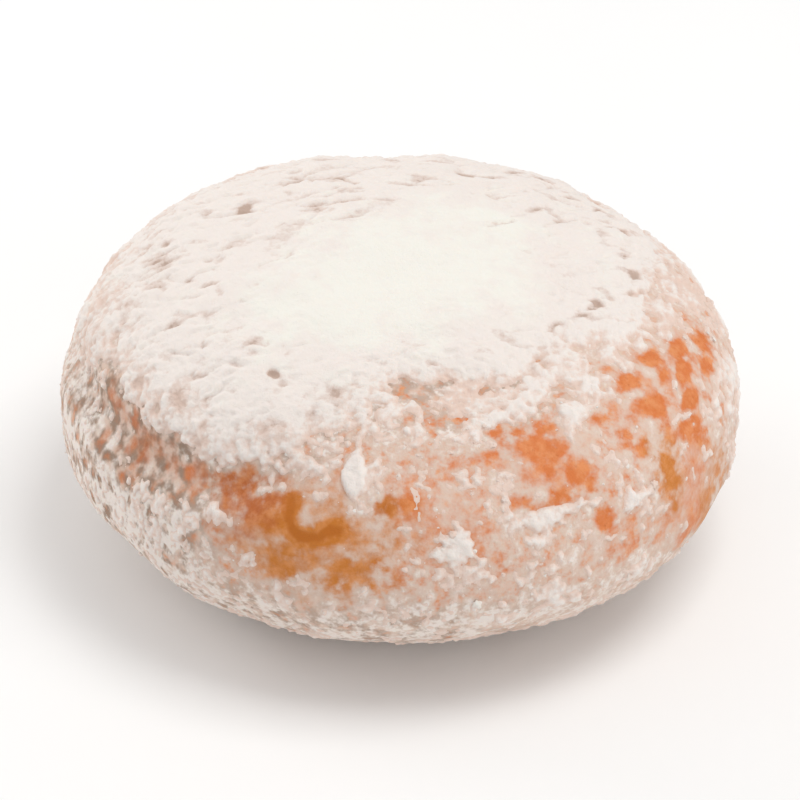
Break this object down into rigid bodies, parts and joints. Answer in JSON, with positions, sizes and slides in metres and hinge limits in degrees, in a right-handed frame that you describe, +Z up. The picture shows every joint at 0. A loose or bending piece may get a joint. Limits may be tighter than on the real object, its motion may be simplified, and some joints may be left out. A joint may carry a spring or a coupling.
{
  "type": "dulce de leche doughnut",
  "caption": "Squat round filled doughnut without a hole, under a thick cap of powdered sugar, with browned crust showing at its side.",
  "frame": {"origin": "middle of the flat spot that the doughnut rests on, at the bottom centre of its bounding box", "axes": "+Z up, -Y the front, +X to the right seen from the front; the fold under the sugar's lip is at the front left"},
  "size_m": [0.0884, 0.0878, 0.0413],
  "materials": {
    "sugared_crust": "matte: golden brown fried dough under damp and dry powdered sugar",
    "powdered_sugar": "dead matte, soft white and slightly warm: the caked sugar, its clumps and its grains, which are laid over the crust"
  },
  "bodies": {
    "root": {"doughnut": "sugared_crust"}
  },
  "joints": []
}
